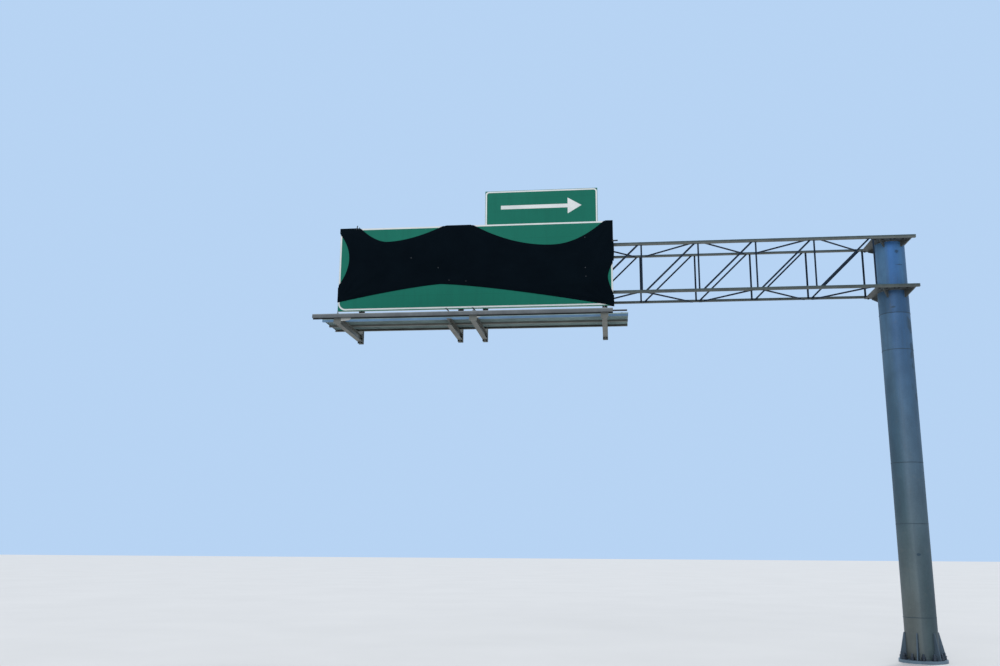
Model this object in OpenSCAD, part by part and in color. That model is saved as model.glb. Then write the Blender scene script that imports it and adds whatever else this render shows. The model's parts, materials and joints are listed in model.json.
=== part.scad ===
// Cantilever overhead sign gantry. A round column on a bolted base carries a
// four-chord box truss arm. The arm holds a plank sign panel with a smaller exit
// panel on top, and hangers that carry brackets, a lighting rail and a walkway.
// Origin: centre of the base plate's underside. +Z is up, the sign faces -Y and
// the arm reaches out along -X. Sizes are in millimetres.

/* [Column] */
// Outside diameter of the column tube
column_d = 610; // [580:5:640]
// Wall of the column tube
column_wall = 12.5; // [8:0.5:20]

/* [Base] */
// Diameter of the base plate
base_d = 900; // [880:5:960]
// Thickness of the base plate
base_t = 57; // [40:1:70]
// Diameter of the anchor bolt circle
bolt_circle_d = 770; // [750:5:790]
// Number of anchor bolts, two between each pair of gussets
bolt_n = 12; // [12:12:12]
// Diameter of each anchor bolt hole
bolt_hole_d = 48; // [40:1:56]
// Height of the base gussets
base_gusset_h = 500; // [350:10:650]
// Number of base gussets
base_gusset_n = 6; // [6:6:6]
// Thickness of every gusset plate
gusset_t = 19; // [12:1:25]
// Height of a gusset's square ends
gusset_nose = 25; // [15:1:40]
// Distance from a gusset's outer end to the edge of its plate
gusset_setback = 15; // [10:1:30]

/* [Seats] */
// Height of the lower chords' undersides above the base
arm_z = 7408; // [6800:10:8000]
// Length of each seat plate along the arm
seat_w = 800; // [760:10:840]
// How far the seat plates reach past the column on the side away from the arm
seat_rim = 35; // [25:5:45]
// Thickness of each seat plate
seat_t = 14; // [12:1:20]
// Height of the gussets under the upper seat
upper_gusset_h = 115; // [90:5:200]
// Height of the gussets under the lower seat
lower_gusset_h = 155; // [120:5:240]

/* [Truss] */
// Height between the undersides of the lower and upper chords
truss_h = 1053; // [950:1:1150]
// Depth over the outer faces of the front and back chords
truss_d = 964; // [900:4:1040]
// Number of panels along the arm
panel_n = 9; // [7:1:11]
// Distance from the seats' arm ends back to the first panel point
node_inset = 20; // [20:1:30]
// Distance from the last panel point to the arm's free end
arm_overhang = 135; // [125:5:180]
// Distance that the chords run on past the seat plates
chord_tail = 80; // [20:5:100]
// Leg of the chord angles
chord_leg = 60; // [56:1:76]
// Thickness of the chord angles
chord_t = 8; // [6:0.5:10]
// Leg of the bracing angles
brace_leg = 35; // [30:1:40]
// Thickness of the bracing angles
brace_t = 5; // [4:0.5:6]
// Distance from a vertical to the foot of the diagonal beside it
diagonal_low_gap = 50; // [48:1:70]
// Distance from a vertical to the head of the diagonal beside it
diagonal_high_gap = 80; // [60:1:120]
// Distance from a panel point to the end of each flat bracing bar beside it
flat_setback = 90; // [70:1:130]

/* [Sign] */
// Distance from the column's centre to the sign's near edge
sign_x = 5835; // [5500:10:6200]
// Width of the sign panel
sign_w = 5950; // [5600:10:6300]
// Distance from the sign's bottom edge up to the lower chords
sign_drop = 308; // [200:2:400]
// Number of planks in the sign panel
plank_n = 6; // [6:6:6]
// Height of one plank
plank_h = 305; // [290:1:320]
// Depth of the planks
plank_d = 51; // [40:1:60]
// Thickness of the planks' skin and ribs
plank_skin = 4; // [3:0.5:6]
// Height of the trim along the sign's top and bottom
trim_h = 20; // [12:1:30]
// Distance from the sign's far edge to the arm's free end
arm_inset = 445; // [350:5:500]
// Width of the exit panel
exit_w = 2438; // [2200:2:2600]
// Height of the exit panel's upper, narrow plank
exit_top_h = 152; // [120:1:200]
// Distance from the sign's near edge to the exit panel
exit_inset = 300; // [250:5:400]
// Distance from the exit panel's edges to the posts behind it
exit_post_inset = 488; // [300:2:600]

/* [Hangers] */
// Depth of the hanger beams
hanger_d = 103; // [90:1:115]
// Flange width of the hanger beams
hanger_w = 106; // [90:1:120]
// Flange thickness of hangers and brackets
flange_t = 9; // [6:0.5:12]
// Web thickness of hangers and brackets
web_t = 7; // [5:0.5:10]
// Distance from the sign's bottom edge down to the hangers' ends
hanger_drop = 705; // [650:5:800]
// Distance from the sign's near edge to the nearest hanger
hanger_inset = 182; // [120:2:240]
// Distance from the nearest hanger to the second
hanger_gap_1 = 2543; // [2300:10:2700]
// Distance from the second hanger to the third
hanger_gap_2 = 532; // [450:2:700]
// Distance from the sign's far edge to the farthest hanger
hanger_far_inset = 515; // [515:5:560]

/* [Brackets and walkway] */
// Depth of the bracket beams
bracket_h = 140; // [130:2:170]
// Flange width of the bracket beams
bracket_w = 100; // [90:2:120]
// Length of the three long brackets
bracket_l = 1795; // [1750:5:2000]
// Length of the short bracket
bracket_short_l = 1435; // [1430:5:1500]
// Distance that the hangers and foot plates run past a bracket's flanges
foot_lap = 35; // [25:1:50]
// Thickness of the foot plates
foot_plate_t = 12; // [8:1:20]
// Width of the end plates of the long brackets
end_plate_w = 150; // [120:2:200]
// Thickness of the end plates
end_plate_t = 10; // [8:1:16]
// Height of the lug on each long bracket's tip
lug_h = 126; // [110:2:160]
// Width of the lugs
lug_w = 60; // [50:1:80]
// Width of a lug at its top
lug_nose = 20; // [10:1:30]
// Height at which a lug's back starts to slope
lug_shoulder = 40; // [20:1:60]
// Diameter of the bolt hole in each lug
lug_hole_d = 18; // [14:1:20]
// Height of the lighting rail
rail_h = 76; // [60:1:90]
// Flange width of the lighting rail
rail_w = 60; // [40:1:76]
// Distance from the brackets' tops down to the rail's underside
rail_drop = 32; // [20:1:40]
// Distance that the rail stops short of each end of the sign
rail_inset = 20; // [0:5:60]
// Distance from the hangers' front faces to the walkway
walkway_gap = 390; // [350:5:420]
// Width of the walkway
walkway_w = 965; // [900:5:980]
// Distance that the walkway runs past the sign's near edge
walkway_over = 275; // [200:5:350]
// Distance that the walkway stops short of the sign's far edge
walkway_inset = 75; // [40:5:150]
// Height of the walkway's stringers
stringer_h = 38; // [30:1:60]
// Flange width of the stringers
stringer_w = 50; // [48:1:60]
// Thickness of the stringers
stringer_t = 5; // [4:0.5:8]
// Height of the grating's bearing bars
grating_t = 25; // [20:1:40]
// Number of bearing bars
grating_bar_n = 12; // [12:12:12]
// Thickness of the bearing bars
grating_bar_t = 5; // [3:0.5:6]
// Side of the square rods across the bearing bars
grating_rod = 8; // [6:1:10]
// Greatest distance between the rods
grating_rod_gap = 260; // [250:5:400]
// Outside diameter of the conduit in the lighting rail
conduit_d = 34; // [25:1:42]
// Distance that the conduit runs past the rail's near end
conduit_out = 270; // [150:10:350]

/* [Cover] */
// Thickness of the cloth cover
cover_t = 8; // [4:1:12]

/* [Hidden] */
$fn = 96;
seat_clearance = 0.3;
eps = 1;

column_r = column_d / 2;
front_y = -truss_d / 2;
upper_z = arm_z + truss_h;
column_top = upper_z - seat_t;
arm_end = sign_x + sign_w - arm_inset;
seat_near = column_r + seat_rim;
seat_far = seat_w - seat_near;
first_node = seat_far - node_inset;
panel_l = (arm_end - arm_overhang - first_node) / panel_n;
chord_end = seat_near + chord_tail;

hanger_y = front_y - hanger_d;
face_y = hanger_y - plank_d;
sign_z = arm_z - sign_drop;
sign_h = plank_n * plank_h + 2 * trim_h;
exit_z = sign_z + sign_h;
exit_h = 2 * plank_h + exit_top_h;
hanger_z = sign_z - hanger_drop;
hanger_top = sign_z + sign_h - trim_h;
hanger_x = [sign_x + hanger_inset,
    sign_x + hanger_inset + hanger_gap_1,
    sign_x + hanger_inset + hanger_gap_1 + hanger_gap_2,
    sign_x + sign_w - hanger_far_inset];
bracket_top = hanger_z + foot_lap + bracket_h;
tip_y = hanger_y - bracket_l;
walkway_rear = hanger_y - walkway_gap;
walkway_front = walkway_rear - walkway_w;
walkway_l = sign_w + walkway_over - walkway_inset;
rail_y = tip_y - rail_w;
rail_z = bracket_top - rail_drop;

// Hems of the cover, each swag as shares of the sign's size: where it starts, is
// deepest and ends, how deep it is there, and how sharply it bends
top_swags = [[0.076, 0.176, 0.384, 0.172, 1.8], [0.497, 0.782, 0.970, 0.264, 2.0]];
bottom_swag = [0, 0.380, 1, 0.300, 1.3];
left_swag = [0.230, 0.588, 0.925, 0.036, 2.0];
right_swag = [0.150, 0.337, 0.500, 0.018, 1.6];
// Share of the sign's height at which the cover's lower left corner is tied
bottom_left = 0.115;
long_hem_steps = 24;
short_hem_steps = 10;

// Angle section in the first quadrant with its heel at the origin
module angle_profile(leg, t) {
    square([leg, t]);
    square([t, leg]);
}

// Wide-flange section centred in x, standing from y = 0 to y = depth
module beam_profile(depth, width) {
    translate([-width / 2, 0]) square([width, flange_t]);
    translate([-width / 2, depth - flange_t]) square([width, flange_t]);
    translate([-web_t / 2, 0]) square([web_t, depth]);
}

// Channel section with its back on the y axis and its flanges towards +x
module channel_profile(height, width, t) {
    square([t, height]);
    square([width, t]);
    translate([0, height - t]) square([width, t]);
}

// Profile extruded along -X from x = from to x = to, with its own x as +Y and y as +Z
module along_arm(from, to) {
    translate([to, 0, 0]) rotate([90, 0, 90]) linear_extrude(from - to) children();
}

// Triangular gusset standing on z = 0, from radius inner to radius outer, with its
// inner end sunk to the column's axis so that it can be trimmed to the round tube
module gusset(height, outer) {
    rotate([90, 0, 0]) translate([0, 0, -gusset_t / 2]) linear_extrude(gusset_t)
        polygon([[0, 0], [outer, 0], [outer, gusset_nose],
            [column_r + gusset_nose, height], [0, height]]);
}

module column_core(z, height) {
    translate([0, 0, z]) cylinder(h = height, d = column_d);
}

module base_plate() {
    color("slategray") difference() {
        cylinder(h = base_t, d = base_d);
        for (i = [0 : bolt_n - 1])
            rotate([0, 0, (i + 0.5) * 360 / bolt_n])
                translate([bolt_circle_d / 2, 0, -eps])
                    cylinder(h = base_t + 2 * eps, d = bolt_hole_d);
    }
}

module base_gussets() {
    color("slategray") difference() {
        for (i = [0 : base_gusset_n - 1])
            rotate([0, 0, i * 360 / base_gusset_n])
                translate([0, 0, base_t])
                    gusset(base_gusset_h, base_d / 2 - gusset_setback);
        column_core(base_t - eps, base_gusset_h + 2 * eps);
    }
}

module column() {
    color("lightsteelblue") difference() {
        translate([0, 0, base_t]) cylinder(h = column_top - base_t, d = column_d);
        translate([0, 0, base_t - eps])
            cylinder(h = column_top - base_t + 2 * eps, d = column_d - 2 * column_wall);
    }
}

module seat_plate(z) {
    translate([-seat_far, front_y, z - seat_t]) cube([seat_w, truss_d, seat_t]);
}

module upper_seat_plate() {
    color("gray") seat_plate(upper_z);
}

module lower_seat_plate() {
    color("gray") difference() {
        seat_plate(arm_z);
        column_core(arm_z - seat_t - eps, seat_t + 2 * eps);
    }
}

// Four gussets hanging under a seat, one towards each corner
module seat_gussets(z, height) {
    toe = [seat_near, truss_d / 2] - 2 * gusset_setback * [1, 1];
    difference() {
        translate([0, 0, z - seat_t]) for (mx = [0, 1], my = [0, 1])
            mirror([mx, 0, 0]) mirror([0, my, 0]) mirror([0, 0, 1])
                rotate([0, 0, atan2(toe[1], toe[0])]) gusset(height, norm(toe));
        column_core(z - seat_t - height - eps, height + 2 * eps);
    }
}

module upper_seat_gussets() {
    color("gray") seat_gussets(upper_z, upper_gusset_h);
}

module lower_seat_gussets() {
    color("gray") seat_gussets(arm_z, lower_gusset_h);
}

// Chord angle with its heel down and outwards; side is -1 for front, 1 for back
module chord(side, z) {
    along_arm(chord_end, -arm_end)
        translate([side * truss_d / 2, z]) mirror([side > 0 ? 1 : 0, 0])
            angle_profile(chord_leg, chord_t);
}

module front_top_chord() {
    color("dimgray") chord(-1, upper_z);
}

module back_top_chord() {
    color("dimgray") chord(1, upper_z);
}

module front_bottom_chord() {
    color("dimgray") chord(-1, arm_z);
}

module back_bottom_chord() {
    color("dimgray") chord(1, arm_z);
}

// Bracing angle in the XZ plane from point a to point b, one leg in the plane
module face_brace(a, b) {
    run = b - a;
    translate([a[0], 0, a[1]]) rotate([0, -atan2(run[1], run[0]), 0])
        rotate([90, 0, 90]) linear_extrude(norm(run))
            translate([0, -brace_leg / 2]) angle_profile(brace_leg, brace_t);
}

// Verticals and diagonals of one side, between the lower and upper chords' flats; the
// first vertical ends under the upper seat
module side_lattice() {
    low = arm_z + chord_t;
    intersection() {
        union() for (i = [0 : panel_n]) {
            x = -first_node - i * panel_l;
            face_brace([x, low - eps], [x, i > 0 ? upper_z + eps : upper_z - seat_t]);
            if (i < panel_n) {
                foot = [x - panel_l + diagonal_low_gap, low];
                head = [x - diagonal_high_gap, upper_z];
                spare = (head - foot) / norm(head - foot) * brace_leg;
                face_brace(foot - spare, head + spare);
            }
        }
        translate([-arm_end, -eps, low])
            cube([arm_end, brace_leg + 2 * eps, upper_z - low]);
    }
}

module front_lattice() {
    color("dimgray") translate([0, front_y + chord_t, 0]) side_lattice();
}

module back_lattice() {
    color("dimgray") mirror([0, 1, 0]) translate([0, front_y + chord_t, 0]) side_lattice();
}

// Plan of one leg of a flat bracing bar from a to b, cut off at y = -limit and limit
module flat_bar_plan(a, b, width, limit) {
    run = b - a;
    intersection() {
        translate(a) rotate(atan2(run[1], run[0])) translate([-brace_leg, -brace_leg / 2])
            square([norm(run) + 2 * brace_leg, width]);
        translate([-arm_end, -limit]) square([arm_end, 2 * limit]);
    }
}

// Zigzag of flat bracing angles on z = 0; phase 0 starts at the back, and the
// standing legs end at y = -standing_y and standing_y
module flat_lattice(phase, standing_y) {
    y = truss_d / 2 - chord_t - seat_clearance;
    for (i = [0 : panel_n - 1]) {
        side = (i + phase) % 2 == 0 ? 1 : -1;
        a = [-first_node - i * panel_l - flat_setback, side * y];
        b = [-first_node - (i + 1) * panel_l + flat_setback, -side * y];
        linear_extrude(brace_t) flat_bar_plan(a, b, brace_leg, y);
        linear_extrude(brace_leg) flat_bar_plan(a, b, brace_t, standing_y);
    }
}

// The upper bars lie on the chords' flats
module top_lattice() {
    color("dimgray") translate([0, 0, upper_z + chord_t])
        flat_lattice(0, truss_d / 2 - chord_t - seat_clearance);
}

// The lower bars lie under the chords' flats and stand up between them
module bottom_lattice() {
    color("dimgray") translate([0, 0, arm_z - brace_t])
        flat_lattice(1, truss_d / 2 - chord_leg - seat_clearance);
}

// Frame of three angles that closes the arm's free end, its diagonal lapped inside
module end_frame() {
    half = truss_d / 2 - chord_t;
    low = arm_z + chord_t;
    foot = half - 2 * brace_leg;
    rise = upper_z - low - 2 * brace_t;
    lean = atan2(2 * foot, rise);
    color("dimgray") translate([-arm_end + brace_leg / 2, 0, 0]) {
        translate([0, half, low]) rotate([90, 0, 0])
            linear_extrude(2 * half) angle_profile(brace_leg, brace_t);
        translate([0, -half, upper_z]) rotate([-90, 0, 0])
            linear_extrude(2 * half) angle_profile(brace_leg, brace_t);
        intersection() {
            translate([brace_t, -foot, low + brace_t]) rotate([-lean, 0, 0])
                translate([0, -brace_leg / 2, -brace_leg])
                    linear_extrude(norm([2 * foot, rise]) + 2 * brace_leg)
                        angle_profile(brace_leg - 2 * brace_t, brace_t);
            translate([0, -half, low + brace_t]) cube([brace_leg, 2 * half, rise]);
        }
    }
}

// Upright wide-flange beam against the front chords, from z = low to z = high
module upright(x, low, high) {
    translate([-x, hanger_y, low]) linear_extrude(high - low)
        beam_profile(hanger_d, hanger_w);
}

module hanger(i) {
    color("darkgray") upright(hanger_x[i], hanger_z, hanger_top);
}

module hanger_1() { hanger(0); }
module hanger_2() { hanger(1); }
module hanger_3() { hanger(2); }
module hanger_4() { hanger(3); }

// Bracket beam reaching forward from its foot plate on a hanger; what it carries at
// its tip is drawn from the tip's lower middle
module bracket(i, length) {
    color("darkgray") translate([-hanger_x[i], hanger_y, hanger_z + foot_lap]) {
        translate([-hanger_w / 2, -foot_plate_t, -foot_lap])
            cube([hanger_w, foot_plate_t, bracket_h + 2 * foot_lap]);
        rotate([90, 0, 0]) linear_extrude(length) beam_profile(bracket_h, bracket_w);
        translate([0, -length, 0]) children();
    }
}

// End plate that closes the rail's open side, and the lug behind the rail
module rail_seat() {
    translate([-end_plate_w / 2, 0, 0]) cube([end_plate_w, end_plate_t, bracket_h]);
    translate([-web_t / 2, 0, bracket_h]) rotate([90, 0, 90]) linear_extrude(web_t) difference() {
        polygon([[0, 0], [lug_w, 0], [lug_w, lug_shoulder], [lug_nose, lug_h], [0, lug_h]]);
        translate([lug_w - lug_shoulder, lug_h / 2]) circle(d = lug_hole_d);
    }
}

module bracket_1() { bracket(0, bracket_l) rail_seat(); }
module bracket_2() { bracket(1, bracket_l) rail_seat(); }
module bracket_3() { bracket(2, bracket_short_l); }
module bracket_4() { bracket(3, bracket_l) rail_seat(); }

// Extruded plank: a front skin with a flanged leg along each edge and a middle rib
module plank_profile(height) {
    lip = 3 * plank_skin;
    square([plank_skin, height]);
    for (z = [0, height - plank_skin]) translate([0, z]) square([plank_d, plank_skin]);
    for (z = [0, height - lip]) translate([plank_d - plank_skin, z]) square([plank_skin, lip]);
    translate([0, (height - plank_skin) / 2]) square([plank_d / 2, plank_skin]);
}

module plank(x, z, width, height) {
    along_arm(-x, -x - width) translate([face_y, z]) plank_profile(height);
}

module sign_plank(i) {
    color("seagreen") plank(sign_x, sign_z + trim_h + i * plank_h, sign_w, plank_h);
}

module sign_plank_1() { sign_plank(0); }
module sign_plank_2() { sign_plank(1); }
module sign_plank_3() { sign_plank(2); }
module sign_plank_4() { sign_plank(3); }
module sign_plank_5() { sign_plank(4); }
module sign_plank_6() { sign_plank(5); }

module sign_trim() {
    color("seagreen") for (z = [sign_z, sign_z + sign_h - trim_h])
        along_arm(-sign_x, -sign_x - sign_w) translate([face_y, z]) square([plank_d, trim_h]);
}

module exit_plank(i, height) {
    color("seagreen") plank(sign_x + exit_inset, exit_z + i * plank_h, exit_w, height);
}

module exit_plank_1() { exit_plank(0, plank_h); }
module exit_plank_2() { exit_plank(1, plank_h); }
module exit_plank_3() { exit_plank(2, exit_top_h); }

// Two posts that tie the exit panel to the sign panel below it
module exit_uprights() {
    color("darkgray") for (x = [exit_post_inset, exit_w - exit_post_inset])
        upright(sign_x + exit_inset + x, exit_z - 2 * plank_h, exit_z + exit_h - 2 * trim_h);
}

// Lighting rail along the bracket tips, its open side against their end plates
module light_rail() {
    color("gray") along_arm(-sign_x - rail_inset, -sign_x - sign_w + rail_inset)
        translate([rail_y, rail_z]) channel_profile(rail_h, rail_w, web_t);
}

// Conduit resting in the rail and running on past its near end
module light_conduit() {
    color("gray") translate([-sign_x - sign_w + 2 * rail_inset,
            rail_y + web_t + conduit_d / 2, rail_z + web_t + conduit_d / 2])
        rotate([0, 90, 0]) cylinder(h = sign_w - 3 * rail_inset + conduit_out, d = conduit_d);
}

// Walkway stringer with its back at y, opening towards +Y or, with side -1, -Y
module stringer(y, side) {
    along_arm(-sign_x + walkway_over, -sign_x - sign_w + walkway_inset)
        translate([y, bracket_top]) mirror([side < 0 ? 1 : 0, 0])
            channel_profile(stringer_h, stringer_w, stringer_t);
}

module walkway_front_stringer() {
    color("slategray") stringer(walkway_front, 1);
}

module walkway_mid_stringer() {
    color("slategray") stringer((walkway_front + walkway_rear) / 2, 1);
}

module walkway_rear_stringer() {
    color("slategray") stringer(walkway_rear, -1);
}

// Open grating: bearing bars along the walkway, banded at both ends, and rods across
module walkway_grating() {
    bar_step = (walkway_w - grating_bar_t) / (grating_bar_n - 1);
    rod_n = ceil(walkway_l / grating_rod_gap);
    color("gray")
        translate([-sign_x - sign_w + walkway_inset, walkway_front, bracket_top + stringer_h]) {
            linear_extrude(grating_t) {
                for (i = [0 : grating_bar_n - 1])
                    translate([0, i * bar_step]) square([walkway_l, grating_bar_t]);
                for (x = [0, walkway_l - grating_bar_t])
                    translate([x, 0]) square([grating_bar_t, walkway_w]);
            }
            for (j = [1 : rod_n - 1])
                translate([j * walkway_l / rod_n, grating_bar_t / 2, grating_t - grating_rod - eps])
                    cube([grating_rod, walkway_w - grating_bar_t, grating_rod]);
        }
}

// Depth of a swag at the share u of its hem, zero outside it
function swag(u, s) = u <= s[0] || u >= s[2] ? 0
    : s[3] * (1 - pow(abs(u - s[1]) / abs((u < s[1] ? s[0] : s[2]) - s[1]), s[4]));

// Heights of the top and bottom hems at the share u of the sign's width
function hem_top(u) = 1 - swag(u, top_swags[0]) - swag(u, top_swags[1]);
function hem_bottom(u) = let (s = bottom_swag, left = u < s[1])
    s[3] - (left ? s[3] - bottom_left : s[3])
    * pow(abs(u - s[1]) / abs((left ? s[0] : s[2]) - s[1]), s[4]);

// Cloth cover tied over the sign's corners, with swags along its hems
module sign_cover() {
    n = long_hem_steps;
    m = short_hem_steps;
    outline = concat(
        [for (i = [0 : n]) [i / n, hem_top(i / n)]],
        [for (i = [m - 1 : -1 : 1]) [1 - swag(i / m, right_swag), i / m]],
        [for (i = [n : -1 : 0]) [i / n, hem_bottom(i / n)]],
        [for (i = [1 : m - 1]) [swag(i / m, left_swag), bottom_left + (1 - bottom_left) * i / m]]);
    color("#10161b") translate([-sign_x - sign_w, face_y - seat_clearance, sign_z])
        rotate([90, 0, 0]) linear_extrude(cover_t)
            polygon([for (p = outline) [p[0] * sign_w, p[1] * sign_h]]);
}

base_plate();
base_gussets();
column();
upper_seat_plate();
lower_seat_plate();
upper_seat_gussets();
lower_seat_gussets();
front_top_chord();
back_top_chord();
front_bottom_chord();
back_bottom_chord();
front_lattice();
back_lattice();
top_lattice();
bottom_lattice();
end_frame();
hanger_1();
hanger_2();
hanger_3();
hanger_4();
bracket_1();
bracket_2();
bracket_3();
bracket_4();
sign_plank_1();
sign_plank_2();
sign_plank_3();
sign_plank_4();
sign_plank_5();
sign_plank_6();
sign_trim();
exit_plank_1();
exit_plank_2();
exit_plank_3();
exit_uprights();
light_rail();
light_conduit();
walkway_front_stringer();
walkway_mid_stringer();
walkway_rear_stringer();
walkway_grating();
sign_cover();
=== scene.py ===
import json
import math
import random

import bpy
from mathutils import Matrix, Vector, noise

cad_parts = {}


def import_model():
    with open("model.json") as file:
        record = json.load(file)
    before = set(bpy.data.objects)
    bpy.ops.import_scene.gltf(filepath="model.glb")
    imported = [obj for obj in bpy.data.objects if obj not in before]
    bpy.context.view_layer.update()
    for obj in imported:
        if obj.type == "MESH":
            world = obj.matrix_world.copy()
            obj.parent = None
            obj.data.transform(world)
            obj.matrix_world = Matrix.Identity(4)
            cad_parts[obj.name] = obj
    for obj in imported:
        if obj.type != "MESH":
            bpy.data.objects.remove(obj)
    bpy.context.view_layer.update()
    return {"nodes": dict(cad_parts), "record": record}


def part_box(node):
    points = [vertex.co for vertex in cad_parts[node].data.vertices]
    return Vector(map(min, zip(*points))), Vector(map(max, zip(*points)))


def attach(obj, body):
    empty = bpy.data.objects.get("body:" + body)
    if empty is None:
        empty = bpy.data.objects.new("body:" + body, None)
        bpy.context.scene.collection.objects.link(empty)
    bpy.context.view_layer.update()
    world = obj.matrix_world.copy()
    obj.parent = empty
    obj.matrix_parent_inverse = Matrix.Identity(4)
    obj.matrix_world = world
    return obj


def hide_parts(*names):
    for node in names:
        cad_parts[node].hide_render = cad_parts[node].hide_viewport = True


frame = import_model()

ROOT = "root"
MM = 0.001

# The camera that the photograph was taken with, fitted to the frame
CAMERA_AT = (-5.902, -20.585, 2.151)
CAMERA_YAW = 6.666
CAMERA_PITCH = 12.371
CAMERA_ROLL = 0.33
CAMERA_LENS = 34.975

UP = Vector((0, 0, 1))
# Only in the looks: how thick the panels' sheeting is, and the heights of the girth welds
SHEETING = 0.8 * MM
GIRTH_WELDS = (0.842, 2.629, 3.835, 6.145, 6.913)
# What the solids have and the frame doesn't state: the truss's panels, and thicknesses and laps
PANELS = 9
CHORD_T = 8 * MM
BEAM_FLANGE = 9 * MM
FOOT_PLATE = 12 * MM
FOOT_LAP = 35 * MM
GUSSET_HALF = 9.5 * MM


# What the frame says about places
def low(node):
    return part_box(node)[0]


def high(node):
    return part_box(node)[1]


def middle(node):
    return (low(node) + high(node)) / 2


PLANKS = [f"sign_plank_{i}" for i in range(1, 7)]
PLANK_FOOT = low("sign_plank_1").z
PLANK_H = high("sign_plank_1").z - PLANK_FOOT
FACE_Y = low("sign_plank_1").y
BACK_Y = high("sign_plank_1").y
SIGN_LOW = low("sign_trim")
SIGN_HIGH = high("sign_trim")
SIGN_W = SIGN_HIGH.x - SIGN_LOW.x
SIGN_H = SIGN_HIGH.z - SIGN_LOW.z
EXIT_LOW = low("exit_plank_1")
EXIT_HIGH = high("exit_plank_3")
BASE_TOP = high("base_plate").z
COLUMN_R = high("column").x
HANGERS = [f"hanger_{i}" for i in range(1, 5)]
BRACKETS = [f"bracket_{i}" for i in range(1, 5)]
LONG_BRACKETS = ["bracket_1", "bracket_2", "bracket_4"]
# The short bracket has no lug, so its top is that of every bracket's beam
BEAM_TOP = high("bracket_3").z
CHORDS = ["front_top_chord", "back_top_chord", "front_bottom_chord", "back_bottom_chord"]
TRUSS_Y = high("back_top_chord").y
CHORD_LEG = high("front_top_chord").z - low("front_top_chord").z
LATTICE_LEG = high("top_lattice").z - low("top_lattice").z
UPRIGHT_W = high("hanger_1").x - low("hanger_1").x
SEAT_Z = high("lower_seat_plate").z


def on_circle(radius, angle, z):
    """Place round the column's axis."""
    return Vector((radius * math.cos(angle), radius * math.sin(angle), z))


def spaced(first, last, count):
    """Evenly spaced places from first to last."""
    return [first + (last - first) * i / (count - 1) for i in range(count)]


# Shader node helpers
def set_inputs(tree, made, inputs):
    """Sets a node's inputs, by name or number, to constants or to other nodes' sockets."""
    for name, value in inputs.items():
        socket = made.inputs[name]
        if isinstance(value, bpy.types.NodeSocket):
            tree.links.new(value, socket)
        elif socket.type == "RGBA":
            socket.default_value = (*value, 1)
        else:
            socket.default_value = value


def add_node(tree, kind, inputs, **settings):
    made = tree.nodes.new("ShaderNode" + kind)
    for name, value in settings.items():
        setattr(made, name, value)
    set_inputs(tree, made, inputs)
    return made


def start_material(name):
    material = bpy.data.materials.new(name)
    material.use_nodes = True
    return material, material.node_tree, material.node_tree.nodes["Principled BSDF"]


def place_of(tree, scale=(1, 1, 1)):
    """Object coordinates in metres, stretched by scale."""
    place = add_node(tree, "TexCoord", {}).outputs["Object"]
    return add_node(tree, "Mapping", {"Vector": place, "Scale": scale}).outputs["Vector"]


def noise_of(tree, scale, detail=4.0, stretch=(1, 1, 1), roughness=0.55):
    inputs = {"Vector": place_of(tree, stretch), "Scale": scale, "Detail": detail, "Roughness": roughness}
    return add_node(tree, "TexNoise", inputs).outputs["Fac"]


def ramp(tree, value, stops):
    """Colour for a value from 0 to 1, between stops of value and colour."""
    made = add_node(tree, "ValToRGB", {"Fac": value})
    marks = made.color_ramp.elements
    marks[0].position, marks[0].color = stops[0][0], (*stops[0][1], 1)
    marks[1].position, marks[1].color = stops[-1][0], (*stops[-1][1], 1)
    for position, colour in stops[1:-1]:
        marks.new(position).color = (*colour, 1)
    return made.outputs["Color"]


def blend(tree, share, first, second, kind="MIX"):
    """Mixes two colours: inputs 6 and 7 of a Mix node, its factor as 0 and the result as output 2."""
    inputs = {0: share, 6: first, 7: second}
    return add_node(tree, "Mix", inputs, data_type="RGBA", blend_type=kind).outputs[2]


def maths(tree, kind, first, second):
    return add_node(tree, "Math", {0: first, 1: second}, operation=kind).outputs["Value"]


def spread(tree, value, out_low, out_high, in_low=0.0, in_high=1.0):
    """Carries a value from the range in_low to in_high over to out_low to out_high."""
    limits = {"From Min": in_low, "From Max": in_high, "To Min": out_low, "To Max": out_high}
    return add_node(tree, "MapRange", {"Value": value, **limits}).outputs["Result"]


def coordinate(tree, axis, source="Object"):
    place = add_node(tree, "TexCoord", {}).outputs[source]
    return add_node(tree, "SeparateXYZ", {"Vector": place}).outputs[axis]


def rise(tree, axis, start, end, top=1.0):
    """Zero up to start along an axis, rising to top at end and beyond."""
    return spread(tree, coordinate(tree, axis), 0.0, top, start, end)


def relief(tree, height, strength, distance):
    inputs = {"Height": height, "Strength": strength, "Distance": distance}
    return add_node(tree, "Bump", inputs).outputs["Normal"]


def tinted(colour, factor):
    return tuple(min(1.0, c * factor) for c in colour)


# Materials
def by_place(tree, base, axis, stops):
    """Multiplies base by a tint that changes along an axis; stops are metres and a colour or grey."""
    first, last = stops[0][0], stops[-1][0]
    tints = []
    for at, tint in stops:
        colour = tint if isinstance(tint, tuple) else (tint,) * 3
        tints.append(((at - first) / (last - first), colour))
    return blend(tree, 1.0, base, ramp(tree, rise(tree, axis, first, last), tints), "MULTIPLY")


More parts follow.
